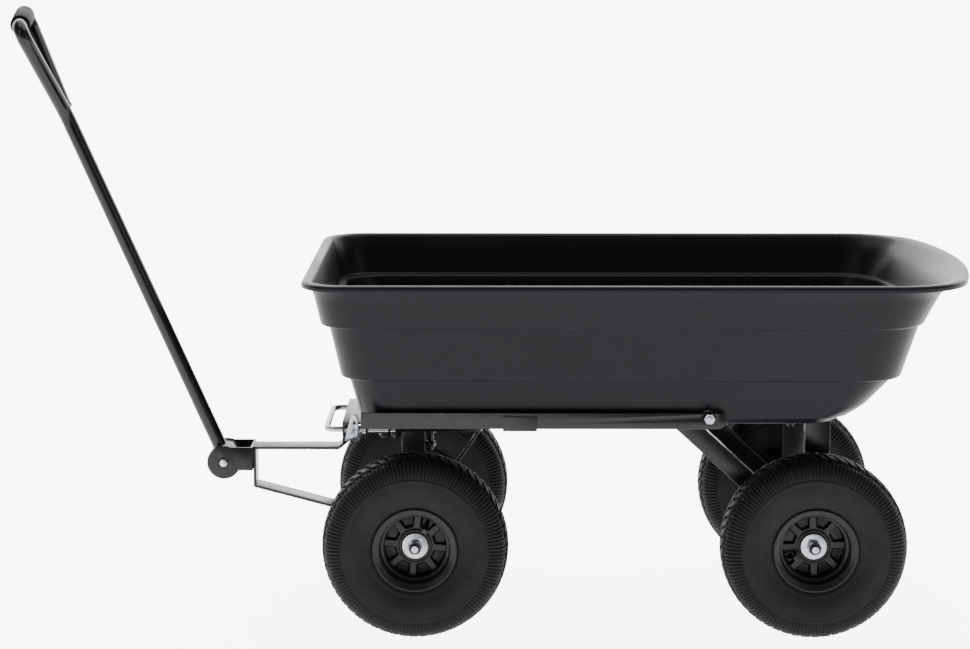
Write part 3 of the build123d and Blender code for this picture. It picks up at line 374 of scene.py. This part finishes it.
# Pockets moulded in the floor so that the bolt heads sit flush. Each has its place
# behind the front axle, its place off the centre line and its radius, in mm.
pocket_floor = 292.0
pocket_depth = 9.0
floor_pockets = [(400.0, 126.0, 9.6), (505.0, 126.0, 9.6), (-47.5, 40.0, 7.35)]
bm = bmesh.new()
for x, y, radius in floor_pockets:
    for side in (-1, 1):
        half_way_up = (pocket_floor + pocket_depth / 2) * MM
        middle = Vector((front_axle_x + x * MM, side * y * MM, half_way_up))
        bmesh.ops.create_cone(
            bm, cap_ends=True, segments=48, radius1=radius * MM, radius2=radius * MM,
            depth=pocket_depth * MM, matrix=Matrix.Translation(middle),
        )
pocket_mesh = bpy.data.meshes.new("pocket_cores")
bm.to_mesh(pocket_mesh)
bm.free()
pocket_cores = bpy.data.objects.new("pocket_cores", pocket_mesh)
bpy.context.collection.objects.link(pocket_cores)
cut_out = tub_solid.modifiers.new("pockets", "BOOLEAN")
cut_out.object = pocket_cores
cut_out.solver = "EXACT"
depsgraph = bpy.context.evaluated_depsgraph_get()
cut_mesh = bpy.data.meshes.new_from_object(tub_solid.evaluated_get(depsgraph))
bpy.data.objects.remove(tub_solid)
bpy.data.objects.remove(pocket_cores)
cut_mesh.materials.clear()
cut_mesh.materials.append(tub_plastic)
cut_mesh.polygons.foreach_set("material_index", [0] * len(cut_mesh.polygons))
cut_mesh.polygons.foreach_set("use_smooth", [True] * len(cut_mesh.polygons))
mark_sharp(cut_mesh, 60)
cut_mesh.name = "tub_shell"
tub_shell = bpy.data.objects.new("tub_shell", cut_mesh)
bpy.context.collection.objects.link(tub_shell)
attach(tub_shell, "tub_unit")
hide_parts("tub")


# ---- Tyres -------------------------------------------------------------------
# Black balloon tyres: slanted crown blocks, a wavy groove each side of them, and narrow
# shoulder ribs that end above a plain sidewall with raised rings. Each is one hollow
# skin, turned round the axle and cut back where the tread has gaps.
lug_count = 56
rib_count = 140
tread_depth = 3.4
rib_depth = 1.5
tread_foot = 97.9       # radius where the tread starts on the shoulder
groove_off = 22.6       # of the wavy groove from the tyre's middle
around = 1120
# Half of the cross-section from the bead to the crown, as (radius, off the middle) in mm.
sidewall = [
    (51.0, 27.0), (52.5, 29.4), (55.0, 31.2), (58.0, 32.2), (60.0, 33.6), (61.5, 34.6),
    (63.5, 34.8), (65.5, 35.2), (69.0, 36.8), (74.0, 38.4), (80.0, 39.5), (86.0, 39.9),
    (91.0, 39.8), (94.5, 39.5), (95.5, 39.7), (97.0, 39.6),
]
tread_line = [
    (98.0, 39.3), (99.6, 39.2), (101.5, 39.0), (104.0, 38.6), (106.5, 37.9), (109.0, 37.0),
    (111.5, 35.9), (113.8, 34.4), (115.8, 32.6), (117.4, 30.8), (118.8, 28.8), (120.0, 26.6),
    (120.9, 24.6), (121.6, 22.6), (122.3, 20.6), (122.9, 18.4), (123.4, 16.2), (123.8, 14.0),
    (124.15, 11.8), (124.4, 9.6), (124.6, 7.4), (124.75, 5.2), (124.85, 3.4), (124.9, 1.7),
    (124.92, 0.0),
]
half_line = sidewall + tread_line
outside_line = half_line + [(r, -y) for r, y in half_line[-2::-1]]
inside_half = [(51.0, -20.5), (60.0, -26.0), (78.0, -32.5), (96.0, -31.5), (110.0, -23.0)]
inside_line = inside_half + [(115.5, 0.0)] + [(r, -y) for r, y in inside_half[::-1]]


def smooth_step(low, high, value):
    """0 below low, 1 above high and an even ease between them."""
    t = np.clip((value - low) / (high - low), 0, 1)
    return t * t * (3 - 2 * t)


def saw(value):
    """Distance to the nearest whole number, 0 to 0.5."""
    return np.abs(value - np.round(value))


def tread_cut(radius, y, turn):
    """How far the rubber is cut back, in mm, at one place round the tyre."""
    side = 1.0 if y >= 0 else -1.0
    level = abs(y)
    pitch = turn * lug_count + (0.5 if side > 0 else 0.0)
    cut = np.zeros_like(turn)
    if radius < tread_foot:
        return cut
    # crown blocks, parted by slanted slots
    crown_zone = 1 - smooth_step(21.5, 22.6, level)
    middle = smooth_step(1.5, 3.2, np.abs(y - 2.6 * (4 * saw(turn * lug_count) - 1)))
    slant = saw(pitch + level * 0.035)
    slots = smooth_step(0.10, 0.17, slant)
    blocks = np.minimum(middle, np.where(level > 3.5, slots, 1.0))
    cut += crown_zone * tread_depth * (1 - blocks)
    # groove between crown and shoulder
    wave = groove_off + 1.6 * (4 * saw(pitch) - 1)
    cut = np.maximum(cut, tread_depth * (1 - smooth_step(1.2, 2.4, np.abs(level - wave))))
    # narrow shoulder ribs, two and a half to each crown block, ending above the sidewall
    shoulder_zone = smooth_step(23.0, 24.4, level)
    ribs = smooth_step(0.13, 0.26, saw(turn * rib_count + (0.5 if side > 0 else 0.0)))
    ends = smooth_step(tread_foot, tread_foot + 2.6, radius)
    cut = np.maximum(cut, shoulder_zone * ends * rib_depth * (1 - ribs))
    return np.maximum(cut, 0.9 * (1 - ends))


tube_middle_r = 88
turns = np.arange(around) / around
angles = turns * 2 * math.pi
tyre_rings = []
line = np.array(outside_line)
tangent = np.gradient(line, axis=0)
tangent /= np.linalg.norm(tangent, axis=1)[:, None]
for (r, y), (tr, ty) in zip(line, tangent):
    # the normal of the line, turned away from the middle of the tube
    out_r, out_y = -ty, tr
    if out_r * (r - tube_middle_r) + out_y * y < 0:
        out_r, out_y = -out_r, -out_y
    back = tread_cut(r, y, turns)
    rr = r - out_r * back
    yy = y - out_y * back
    tyre_rings.append(np.stack([rr * np.cos(angles), yy, rr * np.sin(angles)], axis=1))
for r, y in inside_line:
    off = np.full(around, y)
    tyre_rings.append(np.stack([r * np.cos(angles), off, r * np.sin(angles)], axis=1))
tyre_points = np.concatenate(tyre_rings)
tyre_faces = rings_to_faces(len(tyre_rings), around, True)
tyre_rubber = finish_of(
    "tyre_rubber", light=(0.0085, 0.0087, 0.0092), dark=(0.0060, 0.0062, 0.0066),
    blotch=26.0, rough=(0.50, 0.64), grain=1500.0, depth=0.00006, spec=0.16, wear=0.15,
)
hub_side = {"fl": -1, "fr": 1, "rl": -1, "rr": 1}
wheel_tags = tuple(hub_side)
tread_stagger = 0.37
inside_share = 0.9995


def wheel_centre(tag):
    """Middle of a wheel, from its tyre in the frame."""
    low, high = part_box("tyre_" + tag)
    return np.array([(low.x + high.x) / 2, (low.y + high.y) / 2, (low.z + high.z) / 2])


for number, tag in enumerate(wheel_tags):
    c, s = math.cos(number * tread_stagger), math.sin(number * tread_stagger)
    spin = np.array([[c, 0, s], [0, 1, 0], [-s, 0, c]])
    placed = (tyre_points @ spin.T) * MM * inside_share + wheel_centre(tag)
    tyre = skin("tread_tyre_" + tag, placed, tyre_faces, tyre_rubber)
    face_outward(tyre.data)
    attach(tyre, "wheel_" + tag)
    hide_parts("tyre_" + tag)


# ---- Wheel centres -----------------------------------------------------------
# Black moulded centres: a rounded flange that holds the bead, a stepped ring, and
# eight shallow pockets between the ring and the hub, parted by spokes. Each is one
# cross-section turned round the axle and raised or sunk in step with the pockets.
pocket_count = 8
spoke_half_width = 4.6
spoke_top = 5.2
pocket_drop = 6.2
# The cross-section, as (radius, towards the nut) in mm: the outer flange and the stepped
# ring, the web, the hub's sleeve, the web's back and the inner flange, and the bead seat.
outer_flange = [
    (56.3, 32.6), (56.5, 33.4), (56.1, 34.0), (55.2, 34.2), (53.6, 33.9), (51.5, 32.6),
    (49.0, 31.4), (47.6, 30.6), (46.9, 29.4), (46.6, 27.5), (46.4, 22.0), (46.2, 17.6),
    (45.8, 16.6), (44.8, 16.0), (43.2, 15.9), (42.2, 15.3), (41.6, 14.2), (41.5, 12.5),
    (41.4, 8.0), (41.2, 5.4), (40.6, 4.2), (40.0, 3.7), (39.4, 3.6),
]
web_line = [(r, 3.4) for r in (38.0, 36.0, 34.0, 32.0, 30.0, 28.4, 27.4, 26.8, 26.2)]
sleeve_line = [
    (24.0, 3.9), (22.8, 5.2), (21.6, 6.4), (20.4, 6.6), (17.6, 6.6), (17.5, 6.0),
    (17.5, -3.0), (17.5, -39.0), (18.0, -39.4), (21.4, -39.4), (22.0, -38.8), (22.0, -5.0),
]
inner_flange = [
    (23.5, -4.2), (40.0, -4.0), (45.6, -4.2), (46.9, -6.0), (47.0, -12.0), (47.0, -29.0),
    (48.2, -31.0), (52.0, -32.8), (55.2, -34.2), (56.1, -34.0), (56.5, -33.4), (56.3, -32.6),
]
bead_seat = [(53.5, -30.4), (51.2, -28.4), (51.0, -27.6), (51.0, 27.6), (51.2, 28.4), (53.5, 30.4)]
rim_line = outer_flange + web_line + sleeve_line + inner_flange + bead_seat
rim_around = 288
rim_turns = np.arange(rim_around) / rim_around
rim_angles = rim_turns * 2 * math.pi
rim_rings = []
for r, y in rim_line:
    rise = np.zeros(rim_around)
    if 22.9 < r < 41.3 and -1 < y < 8:
        flush = spoke_top - y
        spoke_half = spoke_half_width / (2 * math.pi * r)
        from_spoke = saw(rim_turns * pocket_count - 0.5) / pocket_count
        pocket = smooth_step(spoke_half, spoke_half * 1.25, from_spoke)
        pocket = pocket * smooth_step(26.2, 27.4, r) * (1 - smooth_step(39.6, 41.0, r))
        sunk = flush - pocket_drop - (r - 33) * 0.12
        rise = flush * (1 - pocket) + sunk * pocket
    rim_rings.append(np.stack([r * np.cos(rim_angles), y + rise, r * np.sin(rim_angles)], axis=1))
rim_points = np.concatenate(rim_rings)
rim_faces = rings_to_faces(len(rim_rings), rim_around, True)
rim_plastic = finish_of(
    "wheel_centre_plastic", light=(0.0080, 0.0080, 0.0088), dark=(0.0055, 0.0055, 0.0062),
    blotch=30.0, rough=(0.26, 0.38), grain=1300.0, depth=0.00003, spec=0.25, wear=0.1,
)
valve_turn = {"fl": 62.0, "fr": 118.0, "rl": 205.0, "rr": 330.0}
for tag in wheel_tags:
    side = hub_side[tag]
    facing = rim_points * [1, side, 1]
    around_axle = math.radians(valve_turn[tag])
    c, s = math.cos(around_axle), math.sin(around_axle)
    spin = np.array([[c, 0, -s], [0, 1, 0], [s, 0, c]])
    placed = (facing @ spin.T) * MM + wheel_centre(tag)
    rim = skin("wheel_rim_" + tag, placed, rim_faces, rim_plastic)
    face_outward(rim.data)
    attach(rim, "wheel_" + tag)
    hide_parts("rim_" + tag)


# ---- Black steel -------------------------------------------------------------
# Rails, cross-members, plates, posts, struts, beams, drawbar and clevis: pressed and
# welded mild steel under a satin black powder coat. Each has its cut edges eased.
powder_black = finish_of(
    "black_powder_coat", light=(0.0065, 0.0065, 0.0075), dark=(0.0045, 0.0045, 0.0052),
    blotch=14.0, rough=(0.20, 0.30), grain=1100.0, depth=0.00006, spec=0.30, wear=0.15,
)


def eased_piece(node, ease, paint, turn_limit=32.0):
    """Put in place of a plain CAD piece a copy with its sharp edges rounded."""
    mesh = nodes[node].data.copy()
    mesh.name = "eased_" + node
    work = bmesh.new()
    work.from_mesh(mesh)
    bmesh.ops.remove_doubles(work, verts=work.verts, dist=0.000002)
    bmesh.ops.dissolve_limit(
        work, angle_limit=math.radians(1.0), verts=work.verts, edges=work.edges
    )
    work.to_mesh(mesh)
    work.free()
    mesh.materials.clear()
    mesh.materials.append(paint)
    rough_piece = bpy.data.objects.new("eased_" + node, mesh)
    bpy.context.collection.objects.link(rough_piece)
    mesh.polygons.foreach_set("use_smooth", [True] * len(mesh.polygons))
    round_over = rough_piece.modifiers.new("round_over", "BEVEL")
    round_over.width = ease
    round_over.segments = 2
    round_over.limit_method = "ANGLE"
    round_over.angle_limit = math.radians(turn_limit)
    round_over.harden_normals = True
    depsgraph = bpy.context.evaluated_depsgraph_get()
    made_mesh = bpy.data.meshes.new_from_object(rough_piece.evaluated_get(depsgraph))
    made_mesh.name = "eased_" + node
    rough_piece.modifiers.clear()
    rough_piece.data = made_mesh
    bpy.data.meshes.remove(mesh)
    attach(rough_piece, body_of_node[node])
    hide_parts(node)


for node in (
    "side_rail_l", "side_rail_r", "front_cross", "mid_cross", "bolster", "bolster_plate",
    "latch_guide", "side_plate_l", "side_plate_r", "rear_tie", "rear_posts", "rear_struts",
    "rear_axle_beam",
    "head_plate", "kingpin_post", "front_axle_beam", "latch_striker", "drawbar", "front_brace",
    "clevis", "handle_boss",
):
    eased_piece(node, 0.0007, powder_black)

# The handle's tube is drawn, bent and finished in a glossier black.
gloss_black = finish_of(
    "gloss_black_tube", light=(0.0050, 0.0050, 0.0056), dark=(0.0036, 0.0036, 0.0042),
    blotch=16.0, rough=(0.12, 0.20), grain=900.0, depth=0.00003, spec=0.34,
)
nodes["handle_tube"].data.materials.clear()
nodes["handle_tube"].data.materials.append(gloss_black)


# ---- Zinc hardware -----------------------------------------------------------
# Wheel nuts, washers, shafts, pivot and clevis bolts, the latch bail and its cheeks:
# bright zinc plate, slightly mottled. The bolts under the tub and at the kingpin get a far
# darker copy of the zinc, painted shade for their place under the tub. All are turned or pressed
# steel with their edges eased.
zinc_plate = finish_of(
    "bright_zinc", light=(0.50, 0.52, 0.55), dark=(0.34, 0.36, 0.39),
    blotch=60.0, rough=(0.26, 0.42), grain=1400.0, depth=0.00004, metal=1.0,
)
# A far darker copy of the zinc: painted shade on the bolts under the tub, and the own dark colour
# of the nut collars.
dark_zinc_and_painted_shade = finish_of(
    "dark_zinc_and_painted_shade", light=(0.050, 0.050, 0.054), dark=(0.030, 0.030, 0.033),
    blotch=60.0, rough=(0.30, 0.44), grain=1400.0, depth=0.00004, metal=0.9,
)
# Painted shade: the bolts under the tub and at the kingpin take the darker copy of the zinc.
for node in ("tub_bolts", "drawbar_bolts", "stop_bolt", "kingpin"):
    eased_piece(node, 0.0004, dark_zinc_and_painted_shade)
for node in (
    "pivot_bolts", "rear_washers", "rear_axle_nuts", "front_washers", "front_axle_nuts",
    "clevis_bolt", "rear_spacers", "front_spacers", "latch_cheeks", "front_axle_shaft",
    "rear_axle_shaft",
):
    eased_piece(node, 0.0004, zinc_plate)

# Axle nuts are self-locking: a dark collar stands out of each, and the axle's thread
# shows beyond it. Lines are (radius, off the cart's middle) in mm.
collar_r = 8.2
thread_r = 5.0
thread_pitch = 1.5
turned_steps = 72
turned_angles = np.arange(turned_steps) / turned_steps * 2 * math.pi
for prefix in ("front", "rear"):
    nut_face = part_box(prefix + "_axle_nuts")[1].y / MM
    shaft_low, shaft_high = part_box(prefix + "_axle_shaft")
    shaft_end = shaft_high.y / MM
    collar_line = [
        (thread_r + 0.4, nut_face - 0.4),
        (collar_r, nut_face - 0.4),
        (collar_r, nut_face + 1.4),
        (collar_r - 0.6, nut_face + 2.2),
        (thread_r + 1.2, nut_face + 2.4),
        (thread_r + 0.4, nut_face + 1.8),
    ]
    thread_line = [(thread_r - 1.5, nut_face - 1.0), (thread_r + 0.1, nut_face - 1.0)]
    turns_shown = int((shaft_end - nut_face) / thread_pitch)
    for turn in range(turns_shown):
        start = nut_face + turn * thread_pitch
        thread_line.append((thread_r + 0.06, start))
        thread_line.append((thread_r + 0.32, start + 0.5))
        thread_line.append((thread_r + 0.32, start + 0.8))
    thread_line.append((thread_r + 0.05, shaft_end - 0.4))
    thread_line.append((thread_r - 0.5, shaft_end + 0.3))
    thread_line.append((thread_r - 1.5, shaft_end + 0.3))
    centre = np.array([(shaft_low.x + shaft_high.x) / 2, 0, (shaft_low.z + shaft_high.z) / 2])
    for label, line, paint, slot_node in (
        ("nut_collar", collar_line, dark_zinc_and_painted_shade, "thrust_washer"),
        ("axle_thread", thread_line, zinc_plate, prefix + "_axle_shaft"),
    ):
        for side, side_name in ((-1, "near"), (1, "far")):
            rings = []
            for r, y in line:
                off = np.full(turned_steps, side * y)
                ring = [r * np.cos(turned_angles), off, r * np.sin(turned_angles)]
                rings.append(np.stack(ring, axis=1))
            points = np.concatenate(rings) * MM + centre
            faces = rings_to_faces(len(rings), turned_steps, True)
            turned_piece = skin(prefix + "_" + label + "_" + side_name, points, faces, paint)
            face_outward(turned_piece.data)
            mark_sharp(turned_piece.data, 35)
            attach(turned_piece, body_of_node[prefix + "_axle_shaft"])
nodes["latch_bail"].data.materials.clear()
nodes["latch_bail"].data.materials.append(zinc_plate)


# ---- Springs and bearings ----------------------------------------------------
# Plain bearing rings in the hubs, and two coil springs of steel wire on the bail's legs.
# The springs ride on the latch as one rigid piece.
spring_wire = finish_of(
    "spring_wire", light=(0.46, 0.47, 0.49), dark=(0.34, 0.35, 0.37),
    blotch=40.0, rough=(0.3, 0.42), grain=1200.0, depth=0.00003, metal=1.0,
)
for node in ["bearings_" + tag for tag in wheel_tags]:
    nodes[node].data.materials.clear()
    nodes[node].data.materials.append(spring_wire)
coil_mesh = nodes["latch_springs"].data.copy()
coil_mesh.name = "coil_springs"
coil_mesh.materials.clear()
coil_mesh.materials.append(spring_wire)
coil_springs = bpy.data.objects.new("coil_springs", coil_mesh)
bpy.context.collection.objects.link(coil_springs)
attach(coil_springs, "latch")
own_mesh(coil_springs)
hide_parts("latch_springs")


# ---- Rubber and nylon --------------------------------------------------------
# Valve stems and rail pads of soft black rubber, the nylon thrust washer and end plug,
# and the foam sleeve that is slid over the handle's loop. All are moulded.
soft_rubber = finish_of(
    "soft_black_rubber", light=(0.0075, 0.0075, 0.0080), dark=(0.0055, 0.0055, 0.0060),
    blotch=50.0, rough=(0.42, 0.54), grain=1400.0, depth=0.00005, spec=0.4,
)
for node in ["rail_pads"] + ["valve_" + tag for tag in wheel_tags]:
    eased_piece(node, 0.0005, soft_rubber)
black_nylon = finish_of(
    "black_nylon", light=(0.011, 0.011, 0.012), dark=(0.008, 0.008, 0.009),
    blotch=40.0, rough=(0.4, 0.5), grain=1000.0, depth=0.00005,
)
for node in ("thrust_washer", "end_plug"):
    eased_piece(node, 0.0005, black_nylon)
grip_foam = finish_of(
    "grip_foam", light=(0.0085, 0.0085, 0.0090), dark=(0.0060, 0.0060, 0.0066),
    blotch=70.0, rough=(0.62, 0.76), grain=1600.0, depth=0.00010, spec=0.14,
)
eased_piece("grip", 0.002, grip_foam)
